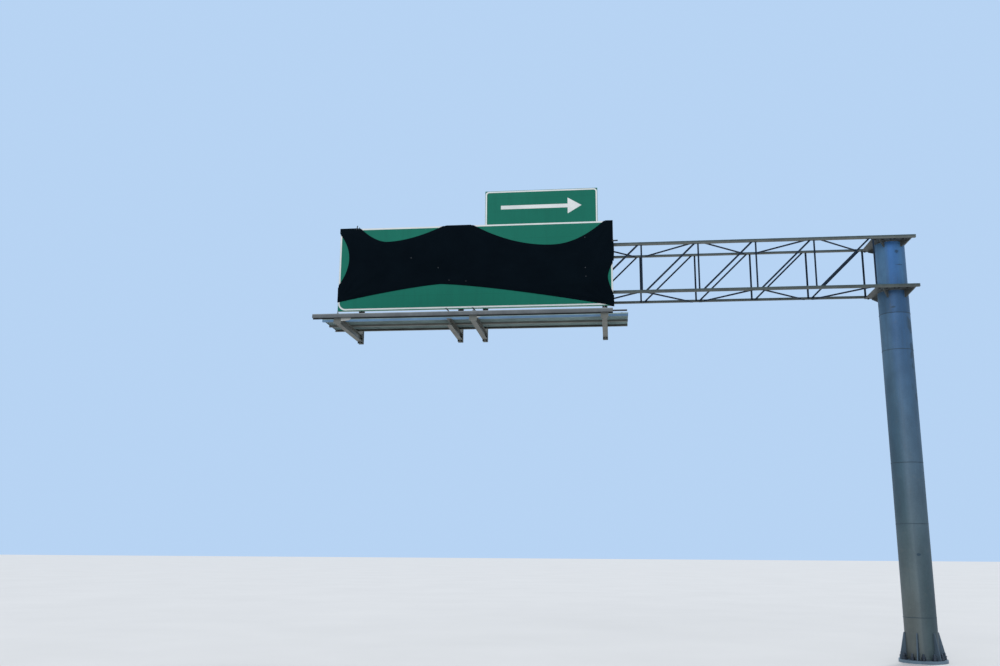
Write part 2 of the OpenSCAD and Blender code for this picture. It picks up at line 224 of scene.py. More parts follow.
def weather(tree, shader, base, colour, metallic=0.3, rough=(0.45, 0.65), stain=(0.20, 0.19, 0.16),
            stain_share=0.25, shine=0.3):
    """Adds zinc crystals, run marks, stain and fine relief to a base colour."""
    crystals = add_node(tree, "TexVoronoi", {"Vector": place_of(tree), "Scale": 62}).outputs["Color"]
    grain = ramp(tree, crystals, [(0.0, (0.84, 0.84, 0.85)), (1.0, (1.0, 1.0, 1.0))])
    base = blend(tree, 0.8, base, grain, "MULTIPLY")
    runs = spread(tree, noise_of(tree, 1.0, 5.0, (17, 17, 0.55), 0.65), 0.0, 0.45, 0.52, 0.80)
    base = blend(tree, runs, base, tinted(colour, 0.62))
    patches = spread(tree, noise_of(tree, 5.5, 8.0, (1, 1, 1), 0.7), 0.0, stain_share, 0.58, 0.78)
    set_inputs(tree, shader, {
        "Base Color": blend(tree, patches, base, stain),
        "Roughness": spread(tree, noise_of(tree, 21, 3.0), *rough),
        "Metallic": metallic,
        "Specular IOR Level": shine,
        "Normal": relief(tree, noise_of(tree, 160, 3.0), 0.12, 1 * MM)})


def galvanised(name, colour, contrast=0.22, bands=None, **wear):
    """Weathered zinc: broad mottle, tints along it if it has bands, and weather()'s wear."""
    material, tree, shader = start_material(name)
    mottle = [(0.30, tinted(colour, 1 - contrast)), (0.52, colour), (0.72, tinted(colour, 1 + contrast))]
    base = ramp(tree, noise_of(tree, 2.6, 7.0), mottle)
    if bands:
        base = by_place(tree, base, *bands)
    weather(tree, shader, base, colour, **wear)
    return material


def spot(tree, at, radius, squash):
    """One inside a ragged spot, zero outside it."""
    rag = maths(tree, "MULTIPLY", noise_of(tree, 26, 4.0), radius * 1.3)
    inputs = {0: place_of(tree, (1, 1, squash)), 1: (at.x, at.y, at.z * squash)}
    gap = add_node(tree, "VectorMath", inputs, operation="DISTANCE").outputs["Value"]
    return spread(tree, maths(tree, "ADD", gap, rag), 1.0, 0.0, radius * 1.25, radius * 1.65)


# The column's zinc: colour by height, partly painted sky reflection growing bluer up it, then painted
# light and shade across it, in metres from its axis, low down, half way, high up and between the seats
COLUMN_ZINC_AND_SKY = ((0.0, (0.145, 0.180, 0.190)), (1.0, (0.140, 0.182, 0.200)), (2.4, (0.128, 0.190, 0.228)),
                 (5.1, (0.098, 0.186, 0.292)), (8.45, (0.070, 0.195, 0.420)))
PAINTED_LIGHT_LOW = (
    (-COLUMN_R, (0.88, 0.80, 0.70)), (-0.16, (1.0, 0.93, 0.84)), (-0.075, (1.0, 0.97, 0.92)),
    (-0.045, (0.72, 0.76, 0.76)), (0.06, (0.52, 0.62, 0.63)), (COLUMN_R, (0.36, 0.46, 0.51)))
PAINTED_LIGHT_MIDDLE = (
    (-COLUMN_R, (0.46, 0.55, 0.55)), (-0.18, (0.60, 0.68, 0.66)), (-0.09, (0.92, 0.90, 0.88)),
    (0.08, (0.76, 0.80, 0.82)), (COLUMN_R, (0.52, 0.62, 0.66)))
PAINTED_LIGHT_HIGH = (
    (-COLUMN_R, (1.0, 0.92, 0.76)), (-0.20, (1.0, 0.92, 0.80)), (-0.12, (0.72, 0.80, 0.86)),
    (0.10, (0.74, 0.82, 0.86)), (COLUMN_R, (0.74, 0.78, 0.74)))
PAINTED_LIGHT_TOP = (
    (-COLUMN_R, (1.55, 1.28, 1.02)), (-0.19, (1.42, 1.24, 1.02)), (-0.10, (0.58, 0.82, 0.98)),
    (0.05, (0.82, 0.92, 0.98)), (0.15, (1.12, 1.14, 1.04)), (COLUMN_R, (0.80, 0.78, 0.70)))
# Dark marks in the zinc: degrees round the column, height, radius and squash
COLUMN_MARKS = ((-78.7, 8.212, 0.045, 1.0), (177.9, 7.137, 0.05, 0.8), (-109.9, 7.024, 0.055, 2.2),
                (-92.0, 2.037, 0.05, 1.4), (-72.0, 7.93, 0.10, 9.0), (-38.0, 6.55, 0.06, 0.6),
                (-42.0, 6.20, 0.07, 0.7), (-35.0, 5.15, 0.06, 0.6), (176.0, 5.28, 0.05, 1.0))


def column_zinc():
    """The column's long runs of zinc, painted sky reflection bluer up it, painted light and shade across
    it, dark marks and a band of painted shade below the seat.
    """
    material, tree, shader = start_material("galvanised_tube")
    mottle = ramp(tree, noise_of(tree, 2.6, 7.0, (1, 1, 0.5)), [(0.32, (0.72,) * 3), (0.68, (1.0,) * 3)])
    levels = by_place(tree, mottle, "Z", COLUMN_ZINC_AND_SKY)
    base = by_place(tree, levels, "X", PAINTED_LIGHT_LOW)
    # Painted light and shade across the column, each set taking over from the last between two heights
    changes = ((PAINTED_LIGHT_MIDDLE, 1.3, 2.9), (PAINTED_LIGHT_HIGH, 4.6, 6.4),
               (PAINTED_LIGHT_TOP, SEAT_Z - 8 * MM, SEAT_Z + 22 * MM))
    for tints, start, end in changes:
        base = blend(tree, rise(tree, "Z", start, end), base, by_place(tree, levels, "X", tints))
    # Painted shade: a darker band from the top girth weld up to just under the lower seat
    seam = GIRTH_WELDS[-1]
    base = by_place(tree, base, "Z", ((seam - 13 * MM, 1.0), (seam + 1 * MM, 0.80),
                                      (SEAT_Z - 28 * MM, 0.80), (SEAT_Z - 8 * MM, 1.0)))
    scars = spread(tree, noise_of(tree, 6.5, 4.0, (1, 1, 0.55)), 0.0, 0.75, 0.54, 0.60)
    scarred = by_place(tree, (1.0, 1.0, 1.0), "Z", ((4.7, 0.0), (5.0, 1.0), (6.85, 1.0), (6.95, 0.0)))
    scars = maths(tree, "MULTIPLY", scars, maths(tree, "MULTIPLY", scarred, rise(tree, "X", 0.13, 0.20)))
    base = blend(tree, scars, base, (0.028, 0.055, 0.075))
    base = blend(tree, rise(tree, "Y", -0.02, 0.16, 0.6), base, (0.105, 0.132, 0.150))
    for degrees, z, radius, squash in COLUMN_MARKS:
        mark = spot(tree, on_circle(COLUMN_R, math.radians(degrees), z), radius, squash)
        base = blend(tree, maths(tree, "MULTIPLY", mark, 0.75), base, (0.022, 0.050, 0.080))
    weather(tree, shader, base, (0.090, 0.135, 0.175), 0.25, (0.40, 0.58), stain_share=0.18)
    return material


def on_front_face(tree):
    """One where the surface lies in the plane of the sheeting, else zero."""
    near = maths(tree, "LESS_THAN", coordinate(tree, "Y"), FACE_Y + 1.5 * MM)
    facing = maths(tree, "LESS_THAN", coordinate(tree, "Y", "Normal"), -0.5)
    return maths(tree, "MULTIPLY", near, facing)


def sheeting_cells(tree, base, share, colour):
    """Paler walls of the fine cells in reflective sheeting, over a base colour."""
    inputs = {"Vector": place_of(tree), "Scale": 190}
    cells = add_node(tree, "TexVoronoi", inputs, feature="DISTANCE_TO_EDGE").outputs["Distance"]
    return blend(tree, spread(tree, cells, share, 0.0, 0.0, 0.10), base, colour)


def sign_sheeting():
    """Green reflective sheeting on the planks' front, mill aluminium elsewhere."""
    material, tree, shader = start_material("sign_sheeting")
    lower = ramp(tree, noise_of(tree, 0.45, 5.0), [
        (0.32, (0.0055, 0.150, 0.103)), (0.52, (0.0065, 0.165, 0.114)), (0.72, (0.0085, 0.182, 0.126))])
    upper = ramp(tree, noise_of(tree, 0.7, 5.0), [
        (0.32, (0.0080, 0.142, 0.098)), (0.52, (0.0095, 0.155, 0.108)), (0.72, (0.0125, 0.172, 0.120))])
    green = blend(tree, rise(tree, "Z", SIGN_LOW.z + 0.4, EXIT_HIGH.z), lower, upper)
    green = sheeting_cells(tree, green, 0.20, (0.016, 0.22, 0.155))
    streaks = spread(tree, noise_of(tree, 1.0, 4.0, (9, 9, 0.7), 0.6), 0.0, 0.25, 0.5, 0.8)
    green = blend(tree, streaks, green, (0.006, 0.085, 0.060))
    joint = maths(tree, "SUBTRACT", coordinate(tree, "Z"), PLANK_FOOT)
    seam = maths(tree, "LESS_THAN", maths(tree, "PINGPONG", joint, PLANK_H / 2), 1.6 * MM)
    green = blend(tree, maths(tree, "MULTIPLY", seam, 0.4), green, (0.004, 0.05, 0.035))
    mill = ramp(tree, noise_of(tree, 3.0, 5.0, (0.3, 3, 3)), [
        (0.3, (0.40, 0.41, 0.42)), (0.7, (0.56, 0.57, 0.58))])
    mask = on_front_face(tree)
    set_inputs(tree, shader, {
        "Base Color": blend(tree, mask, mill, green),
        "Roughness": spread(tree, mask, 0.42, 0.62),
        "Metallic": spread(tree, mask, 0.75, 0.0),
        "Specular IOR Level": 0.12,
        "Normal": relief(tree, noise_of(tree, 9.0, 2.0), 0.10, 2 * MM)})
    return material


def white_sheeting():
    material, tree, shader = start_material("white_sheeting")
    base = ramp(tree, noise_of(tree, 2.2, 6.0), [(0.3, (0.60, 0.64, 0.64)), (0.7, (0.74, 0.77, 0.77))])
    set_inputs(tree, shader, {
        "Base Color": sheeting_cells(tree, base, 0.25, (0.85, 0.86, 0.86)),
        "Roughness": 0.42,
        "Normal": relief(tree, noise_of(tree, 60, 2.0), 0.06, 1 * MM)})
    return material


def cover_cloth():
    """Near-black woven polyester, faintly dusty."""
    material, tree, shader = start_material("cover_cloth")
    base = ramp(tree, noise_of(tree, 1.4, 6.0), [
        (0.3, (0.0010, 0.0034, 0.0062)), (0.7, (0.0019, 0.0054, 0.0092))])
    dust = spread(tree, noise_of(tree, 7.0, 8.0, (0.4, 1, 1), 0.7), 0.0, 0.16, 0.58, 0.88)
    weave = {"Vector": place_of(tree), "Scale": 130}
    threads = [add_node(tree, "TexWave", weave, bands_direction=way).outputs["Fac"] for way in ("X", "Z")]
    set_inputs(tree, shader, {
        "Base Color": blend(tree, dust, base, (0.009, 0.015, 0.020)),
        "Roughness": 0.92,
        "Specular IOR Level": 0.05,
        "Normal": relief(tree, maths(tree, "ADD", *threads), 0.25, 0.6 * MM)})
    return material


def dark_plastic():
    material, tree, shader = start_material("tie_plastic")
    shades = [(0.3, (0.008, 0.009, 0.010)), (0.7, (0.020, 0.021, 0.022))]
    set_inputs(tree, shader, {"Base Color": ramp(tree, noise_of(tree, 40, 3.0), shades), "Roughness": 0.5})
    return material


def above(node, *stops):
    """Stops for by_place, from millimetres above a node's underside."""
    return [(low(node).z + height * MM, tint) for height, tint in stops]


# Painted light and shade on the chords, darker and bluer towards their top edges; painted shadow on the
# hangers at the sign's foot; the rail's painted highlight along its top edge over painted shade; and
# walkway parts that pale or darken along it
CHORD_SHADE = ("Z", [
    *above("front_bottom_chord",
           (0, (0.40, 0.35, 0.32)), (32, (0.35, 0.32, 0.31)), (60, (0.25, 0.30, 0.31))),
    *above("front_top_chord",
           (0, (0.66, 0.54, 0.48)), (31, (0.40, 0.36, 0.35)), (60, (0.17, 0.25, 0.28)))])
HANGER_SHADOW = ("Z", [
    *above("hanger_1", (0, 1.0)),
    *above("sign_trim", (-100, 1.0), (-60, 0.06), (10, 0.06), (70, 1.0)),
    (high("hanger_1").z, 1.0)])
RAIL_LIGHT_AND_SHADE = ("Z", above("light_rail", (0, 0.38), (26, 0.48), (56, 0.46), (64, 0.90), (76, 1.0)))
FAR_END, NEAR_END = low("walkway_grating").x, high("walkway_grating").x
WALKWAY_FADE = ("X", ((FAR_END, 0.74), (-9.0, 0.74), (-7.0, 1.0), (NEAR_END, 1.0)))
STRINGER_FADE = ("X", ((FAR_END, 0.88), (-9.0, 1.0), (NEAR_END, 0.76)))
BEAM_ZINC = dict(colour=(0.150, 0.156, 0.140), contrast=0.26, stain=(0.150, 0.112, 0.070))

# What each zinc finish sets for galvanised()
ZINC = {
    "galvanised_plate": dict(colour=(0.145, 0.215, 0.275), metallic=0.2, rough=(0.40, 0.60)),
    "gusset_zinc": dict(colour=(0.085, 0.125, 0.165), metallic=0.2, rough=(0.40, 0.60)),
    "seat_plate": dict(colour=(0.090, 0.100, 0.096), contrast=0.24, stain=(0.115, 0.088, 0.058)),
    "galvanised_angle": dict(colour=(0.215, 0.280, 0.275), contrast=0.24, stain=(0.16, 0.15, 0.12),
                             bands=CHORD_SHADE),
    # The braces' near-black navy is painted shade and painted sky reflection
    "galvanised_brace": dict(colour=(0.009, 0.021, 0.040), contrast=0.24, metallic=0.06,
                             stain=(0.05, 0.06, 0.08), stain_share=0.12, shine=0.14),
    "galvanised_beam": dict(BEAM_ZINC, stain_share=0.38),
    "hanger_zinc": dict(BEAM_ZINC, stain_share=0.3, bands=HANGER_SHADOW),
    "stringer_zinc": dict(colour=(0.128, 0.245, 0.385), contrast=0.16, bands=STRINGER_FADE),
    "rail_zinc": dict(colour=(0.272, 0.300, 0.312), contrast=0.24, stain=(0.13, 0.10, 0.08),
                      bands=RAIL_LIGHT_AND_SHADE),
    "new_zinc": dict(colour=(0.46, 0.47, 0.44), contrast=0.16),
    "conduit": dict(colour=(0.058, 0.062, 0.070), contrast=0.20),
    "grating": dict(colour=(0.268, 0.360, 0.350), contrast=0.24, bands=WALKWAY_FADE),
    "fastener": dict(colour=(0.19, 0.20, 0.205), contrast=0.18, metallic=0.45, rough=(0.35, 0.5)),
    "anchor_steel": dict(colour=(0.052, 0.068, 0.090), contrast=0.25, metallic=0.6, rough=(0.22, 0.38)),
    "dark_fastener": dict(colour=(0.018, 0.021, 0.023), rough=(0.4, 0.6), stain=(0.030, 0.028, 0.024)),
    "weld": dict(colour=(0.15, 0.165, 0.17), contrast=0.30, metallic=0.4),
    # The column's welds: darker than the other welds, as painted shade along their beads
    "shaded_weld": dict(colour=(0.050, 0.078, 0.100), contrast=0.30, metallic=0.4),
}
MATERIALS = {name: galvanised(name, **finish) for name, finish in ZINC.items()}
MATERIALS.update(
    galvanised_tube=column_zinc(), sign_face=sign_sheeting(), white_sheeting=white_sheeting(),
    cover_cloth=cover_cloth(), tie_plastic=dark_plastic())

# Nodes with a finish of their own
SEATS = ["upper_seat_plate", "lower_seat_plate", "upper_seat_gussets", "lower_seat_gussets"]
OWN_FINISH = {"base_gussets": "gusset_zinc", "walkway_front_stringer": "stringer_zinc",
              "light_rail": "rail_zinc"}
OWN_FINISH.update({node: "seat_plate" for node in SEATS})
OWN_FINISH.update({node: "hanger_zinc" for node in HANGERS})


# Mesh building
def side_axes(axis):
    """Two unit vectors square to axis and to each other."""
    axis = Vector(axis).normalized()
    helper = UP if abs(axis.z) < 0.9 else Vector((1, 0, 0))
    first = axis.cross(helper).normalized()
    return first, axis.cross(first)


def direction(path, i, closed):
    """Unit vector along a path at one of its points."""
    before = path[i - 1] if i or closed else path[i]
    after = path[(i + 1) % len(path)] if i < len(path) - 1 or closed else path[i]
    return (after - before).normalized()


class Shell:
    """Collects points and faces of many small closed forms for one joined mesh."""

    def __init__(self, seed=0):
        self.points, self.faces, self.smooth = [], [], []
        self.rng = random.Random(seed)

    def add(self, points, faces, smooth=False):
        start = len(self.points)
        self.points += [tuple(p) for p in points]
        self.faces += [tuple(start + i for i in face) for face in faces]
        self.smooth += [smooth] * len(faces)

    def skin(self, rings, smooth=False, closed=False):
        """Skin over rings of equal length; ends are capped unless closed."""
        n, count, faces = len(rings[0]), len(rings), []
        for i in range(count if closed else count - 1):
            a, b = i * n, (i + 1) % count * n
            faces += [(a + j, a + (j + 1) % n, b + (j + 1) % n, b + j) for j in range(n)]
        self.add([p for ring in rings for p in ring], faces, smooth)
        if not closed:
            self.add(rings[0], [tuple(reversed(range(n)))])
            self.add(rings[-1], [tuple(range(n))])

    def turned(self, base, axis, profile, sides, turn=0.0):
        """Solid of revolution, or prism, from (height, radius) steps along axis."""
        base, axis = Vector(base), Vector(axis).normalized()
        first, second = side_axes(axis)
        angles = [turn + 2 * math.pi * j / sides for j in range(sides)]
        ways = [first * math.cos(a) + second * math.sin(a) for a in angles]
        self.skin([[base + axis * height + way * radius for way in ways] for height, radius in profile])

    def box(self, lowest, highest):
        (x0, y0, z0), (x1, y1, z1) = lowest, highest
        points = [(x, y, z) for z in (z0, z1) for x, y in ((x0, y0), (x1, y0), (x1, y1), (x0, y1))]
        sides = [(0, 1, 5, 4), (1, 2, 6, 5), (2, 3, 7, 6), (3, 0, 4, 7)]
        self.add(points, [(3, 2, 1, 0), (4, 5, 6, 7)] + sides)

    def tube(self, path, radius, sides=6, closed=False, ripple=0.0, pitch=12 * MM):
        """Round bar along a path; ripple makes it a weld bead."""
        path = [Vector(p) for p in path]
        rings, travelled, up = [], 0.0, None
        for i, p in enumerate(path):
            along = direction(path, i, closed)
            up = side_axes(along)[0] if up is None else up
            up = (up - along * up.dot(along)).normalized()
            other = along.cross(up)
            travelled += (p - path[i - 1]).length if i else 0.0
            r = radius * (1 + ripple * math.sin(2 * math.pi * travelled / pitch))
            angles = (2 * math.pi * j / sides for j in range(sides))
            rings.append([p + (up * math.cos(a) + other * math.sin(a)) * r for a in angles])
        self.skin(rings, True, closed)

    def bead(self, start, end, radius):
        """Straight weld bead with ripples."""
        start, end, step = Vector(start), Vector(end), 6 * MM
        n = max(3, int((end - start).length / step))
        self.tube([start.lerp(end, i / n) for i in range(n + 1)], radius, 5, False, 0.18, 4 * step)

    def washer(self, seat, axis, size):
        """Round washer for a bolt of this size; gives the place on top of it."""
        thick, radius = size * 0.16, size * 1.15
        self.turned(seat, axis, [(0, radius), (thick, radius)], 16)
        return Vector(seat) + Vector(axis) * thick

    def hexagon(self, base, axis, profile):
        """Nut or bolt head, turned at random."""
        self.turned(base, axis, profile, 6, self.rng.uniform(0, 1))

    def bolt(self, seat, axis, size):
        """Hexagon head on a round washer."""
        top, r = self.washer(seat, axis, size), size * 0.92
        self.hexagon(top, axis, [(0, r), (size * 0.52, r), (size * 0.64, r * 0.84)])

    def nut(self, seat, axis, size, stud):
        """Washer, nut and the bolt's end standing out of it."""
        top, r, b = self.washer(seat, axis, size), size * 0.92, size * 0.52
        profile = [(0, r * 0.88), (size * 0.08, r), (size * 0.74, r), (size * 0.84, r * 0.84)]
        self.hexagon(top, axis, profile)
        top += Vector(axis) * size * 0.8
        self.turned(top, axis, [(0, b), (stud, b), (stud + b * 0.2, b * 0.75)], 12)

    def through_bolt(self, head, nut, size):
        """Bolt with its head at one place and its nut at another."""
        axis = (Vector(head) - Vector(nut)).normalized()
        self.bolt(head, axis, size)
        self.nut(nut, -axis, size, 8 * MM)

    def finish(self, name, material, slot):
        """Makes the piece, one joined mesh on the root body."""
        mesh = bpy.data.meshes.new(name)
        mesh.from_pydata(self.points, [], self.faces)
        mesh.polygons.foreach_set("use_smooth", self.smooth)
        mesh.update()
        mesh.materials.append(MATERIALS[material])
        piece = add_object(name, mesh)
        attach(piece, ROOT)
        return piece


def add_object(name, data):
    made = bpy.data.objects.new(name, data)
    bpy.context.scene.collection.objects.link(made)
    return made


# Frame materials
def dress_frame():
    """Gives every CAD node the finish of its slot, or its own where it has one."""
    for part in frame["record"]["subparts"]:
        node = frame["nodes"].get(part["node"])
        if node:
            node.data.materials.clear()
            node.data.materials.append(MATERIALS[OWN_FINISH.get(part["node"], part["material_slot"])])


# Base and column
def anchor_bolts():
    """Anchor bolt ends on the record's bolt circle, each with a washer and two nuts."""
    bolts = next(m["dims"] for m in frame["record"]["mounts"] if m["name"] == "anchor_bolts")
    count, circle = bolts["count"], bolts["pcd_mm"] * MM / 2
    washer, washer_r = 8 * MM, 46 * MM
    nut_r, edge_r, stud_r, tip_r = 41 * MM, 36 * MM, 22 * MM, 17 * MM
    shell = Shell(3)
    for i in range(count):
        seat = on_circle(circle, (i + 0.5) * 2 * math.pi / count, BASE_TOP)
        shell.turned(seat, UP, [(0, washer_r), (washer, washer_r)], 24)
        seat += UP * washer
        for height, foot in ((44 * MM, 4 * MM), (26 * MM, 3 * MM)):
            profile = [(0, edge_r), (foot, nut_r), (height - 4 * MM, nut_r), (height, edge_r)]
            shell.hexagon(seat, UP, profile)
            seat += UP * height
        stud = 30 * MM + shell.rng.uniform(0, 12 * MM)
        shell.turned(seat, UP, [(0, stud_r), (stud, stud_r), (48 * MM, tip_r)], 16)
    shell.finish("anchor_bolts", "anchor_steel", "galvanised_plate")


def ring_weld(shell, z, radius, steps):
    """Weld bead round the column."""
    ring = [on_circle(COLUMN_R, 2 * math.pi * i / steps, z) for i in range(steps)]
    shell.tube(ring, radius, 6, True, 0.10, 26 * MM)


def gusset_welds(shell, angle, reach, heights, flat, radius):
    """Beads on both sides of a gusset, up the column between two heights and out along its plate."""
    out, side = on_circle(1, angle, 0), on_circle(1, angle + math.pi / 2, 0)
    for s in (-1, 1):
        beside = side * s * (GUSSET_HALF + 2 * MM)
        root, toe = out * (COLUMN_R - 1 * MM) + beside, out * reach + beside
        shell.bead(root + UP * heights[0], root + UP * heights[1], radius)
        shell.bead(root + UP * flat, toe + UP * flat, radius)


def column_welds():
    """Girth welds of the tube, its weld to the base and those along each base gusset."""
    shell = Shell()
    for z in (*GIRTH_WELDS, BASE_TOP + 4 * MM):
        ring_weld(shell, z, 5.5 * MM, 160)
    tip, count = high("base_gussets"), 6
    for i in range(count):
        heights = (BASE_TOP, tip.z - 6 * MM)
        gusset_welds(shell, i * 2 * math.pi / count, tip.x - 4 * MM, heights, BASE_TOP, 5 * MM)
    shell.finish("column_welds", "shaded_weld", "galvanised_tube")


# Seats and truss, with the places of the seat bolts along the chords
SEAT_BOLTS_X = (-0.385, -0.235, -0.08, 0.0, 0.165)


def seat_bolts():
    """Bolts that hold the chords down on both seat plates, heads below, nuts above."""
    shell = Shell(5)
    for plate, chords in (("upper_seat_plate", CHORDS[:2]), ("lower_seat_plate", CHORDS[2:])):
        for chord in chords:
            y = math.copysign(TRUSS_Y - CHORD_LEG * 0.58, middle(chord).y)
            for x in SEAT_BOLTS_X:
                shell.through_bolt((x, y, low(plate).z), (x, y, low(chord).z + CHORD_T), 21 * MM)
    shell.finish("seat_bolts", "dark_fastener", "galvanised_plate")


def gusset_angle(gussets):
    """Angle of a corner gusset about the column, from its node's box and its thickness."""
    edge = corner = high(gussets)
    for _ in range(4):
        angle = math.atan2(edge.y, edge.x)
        edge = corner - GUSSET_HALF * Vector((math.sin(angle), math.cos(angle), 0))
    return angle


def seat_welds():
    """Welds of the corner gussets and of the seat plates to the column."""
    shell = Shell()
    for level in ("upper", "lower"):
        plate, gussets = f"{level}_seat_plate", f"{level}_seat_gussets"
        under, tip = low(plate).z, high(gussets)
        ring_weld(shell, under - 4 * MM, 5 * MM, 120)
        if level == "lower":
            ring_weld(shell, high(plate).z + 3 * MM, 5 * MM, 120)
        turn, reach = gusset_angle(gussets), math.hypot(tip.x, tip.y) - 22 * MM
        for angle in (turn, math.pi - turn, math.pi + turn, -turn):
            heights = (low(gussets).z + 4 * MM, under)
            gusset_welds(shell, angle, reach, heights, under - 2 * MM, 4.5 * MM)
    shell.finish("seat_welds", "weld", "galvanised_plate")


def panel_points():
    """X of every panel point, from the side lattice's box."""
    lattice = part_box("front_lattice")
    return spaced(lattice[1].x - LATTICE_LEG / 2, lattice[0].x + LATTICE_LEG / 2, PANELS + 1)


def lattice_welds():
    """Short welds where each vertical meets the chords' upright legs and flats."""
    shell = Shell()
    half = LATTICE_LEG / 2 + 1.5 * MM
    for side, face in ((-1, "front"), (1, "back")):
        y = side * (TRUSS_Y - CHORD_T - 1 * MM)
        foot, top = low(f"{face}_bottom_chord").z, low(f"{face}_top_chord").z - 1.5 * MM
        for x in panel_points():
            for edge in (x - half, x + half):
                shell.bead((edge, y, foot + CHORD_T), (edge, y, foot + CHORD_LEG), 2.5 * MM)
            inner = y - side * 7 * MM
            shell.bead((x - half, inner, top), (x + half, inner, top), 2.5 * MM)
    shell.finish("lattice_welds", "weld", "galvanised_brace")


def hanger_bolts():
    """Bolts through the hangers' rear flanges and the front chords."""
    shell = Shell(7)
    for hanger in HANGERS:
        x, back = middle(hanger).x, high(hanger).y
        for chord in ("front_top_chord", "front_bottom_chord"):
            z = low(chord).z + CHORD_LEG * 0.62
            for at in (x - 32 * MM, x + 32 * MM):
                shell.through_bolt((at, back - BEAM_FLANGE, z), (at, back + CHORD_T, z), 16 * MM)
    shell.finish("hanger_bolts", "fastener", "galvanised_beam")


def foot_bolts():
    """Six bolts through each foot plate and its hanger's front flange."""
    shell = Shell(11)
    for hanger, bracket in zip(HANGERS, BRACKETS):
        x, front, back = middle(hanger).x, low(hanger).y - FOOT_PLATE, low(hanger).y + BEAM_FLANGE
        first, last = low(bracket).z + FOOT_LAP / 2, BEAM_TOP - FOOT_LAP / 2
        for z in (first, (first + last) / 2, last):
            for at in (x - 36 * MM, x + 36 * MM):
                shell.through_bolt((at, front, z), (at, back, z), 14.5 * MM)
    shell.finish("foot_bolts", "dark_fastener", "galvanised_beam")


def clip_pair(shell, x, z):
    """Two clips that hook a plank joint to both edges of an upright's front flange."""
    half, thick, lap, reach = 19 * MM, 9.5 * MM, 16 * MM, 34 * MM
    for s in (-1, 1):
        edge = x + s * UPRIGHT_W / 2
        inner, outer = sorted((edge - s * lap, edge + s * reach))
        shell.box((inner, BACK_Y + thick, z - half), (outer, BACK_Y + 2 * thick, z + half))
        inner, outer = sorted((edge + s * 2 * MM, edge + s * reach))
        shell.box((inner, BACK_Y, z - half), (outer, BACK_Y + thick, z + half))
        shell.bolt((edge + s * 18 * MM, BACK_Y + 2 * thick, z), (0, 1, 0), 9.5 * MM)


def plank_clips():
    """Clips that hook each plank joint to the hangers and to the exit panel's posts."""
    shell = Shell(9)
    joints = [low(plank).z for plank in PLANKS] + [high(PLANKS[-1]).z]
    for hanger in HANGERS:
        for z in joints:
            inside = min(max(z, SIGN_LOW.z + 35 * MM), SIGN_HIGH.z - 55 * MM)
            clip_pair(shell, middle(hanger).x, inside)
    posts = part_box("exit_uprights")
    joints = (EXIT_LOW.z + 35 * MM, high("exit_plank_1").z, high("exit_plank_2").z, posts[1].z - 35 * MM)
    for x in (posts[0].x + UPRIGHT_W / 2, posts[1].x - UPRIGHT_W / 2):
        for z in joints:
            clip_pair(shell, x, z)
    shell.finish("plank_clips", "fastener", "sign_face")


# Panels' white sheeting: the borders' width, insets from the panels' edges and outer radii; the arrow
BORDER_W = 34 * MM
SIDE_INSET = 2 * MM
BOTTOM_INSET = 21 * MM
EXIT_INSET = 7 * MM
BORDER_R = 0.17
EXIT_BORDER_R = 0.075
ARROW_L = 1.75
SHAFT_W = 0.085
HEAD_L = 0.30
HEAD_W = 0.36


def flat_plate(shell, outline, y, thickness):
    """Upright plate parallel to the sign, from its outline in x and z."""
    shell.skin([[(x, y, z) for x, z in outline], [(x, y + thickness, z) for x, z in outline]])


def rounded_path(points, radius, closed):
    """Path through points in the XZ plane with each inner corner rounded."""
    path, count, steps = [], len(points), 10
    for i, p in enumerate(points):
        if not closed and i in (0, count - 1):
            path.append(Vector(p))
            continue
        p, before, after = Vector(p), Vector(points[i - 1]), Vector(points[(i + 1) % count])
        a, b = (before - p).normalized(), (after - p).normalized()
        centre = p + (a + b) * radius
        for s in range(steps + 1):
            t = math.pi / 2 * s / steps
            path.append(centre - b * radius * math.cos(t) - a * radius * math.sin(t))
    return path


def border(name, lowest, highest, radius, width, closed):
    """Flat band on the sheeting inside a rectangle in x and z, open at the bottom unless closed."""
    (left, bottom), (right, top) = lowest, highest
    corners = [(right, bottom), (right, top), (left, top), (left, bottom)]
    path, rings = rounded_path(corners, radius, closed), []
    for i, p in enumerate(path):
        along = direction(path, i, closed)
        q = p + Vector((-along.y, along.x)) * width
        section = ((p, 0.0), (p, SHEETING), (q, SHEETING), (q, 0.0))
        rings.append([Vector((at.x, FACE_Y - out, at.y)) for at, out in section])
    shell = Shell()
    shell.skin(rings, False, closed)
    shell.finish(name, "white_sheeting", "sign_face")


def sign_border():
    """Border of the main sign: at its top edge, close to its sides, set in at the bottom."""
    lowest = (SIGN_LOW.x + SIDE_INSET, SIGN_LOW.z + BOTTOM_INSET)
    highest = (SIGN_HIGH.x - SIDE_INSET, SIGN_HIGH.z)
    border("sign_border", lowest, highest, BORDER_R, BORDER_W, True)


def exit_border():
    """Border of the exit panel, open at its bottom edge as in the photograph."""
    lowest = (EXIT_LOW.x + EXIT_INSET, EXIT_LOW.z)
    highest = (EXIT_HIGH.x - EXIT_INSET, EXIT_HIGH.z - EXIT_INSET)
    border("exit_border", lowest, highest, EXIT_BORDER_R, BORDER_W * 0.9, False)


def exit_arrow():
    """One long plain arrow on the exit panel."""
    centre, tip, neck = (EXIT_LOW + EXIT_HIGH) / 2, ARROW_L / 2, ARROW_L / 2 - HEAD_L
    upper = [(neck, HEAD_W / 2), (neck, SHAFT_W / 2), (-tip, SHAFT_W / 2)]
    outline = [(x, -z) for x, z in reversed(upper)] + [(tip, 0)] + upper
    shell = Shell()
    flat_plate(shell, [(centre.x + x, centre.z + z) for x, z in outline], FACE_Y, -SHEETING)
    shell.finish("exit_arrow", "white_sheeting", "sign_face")


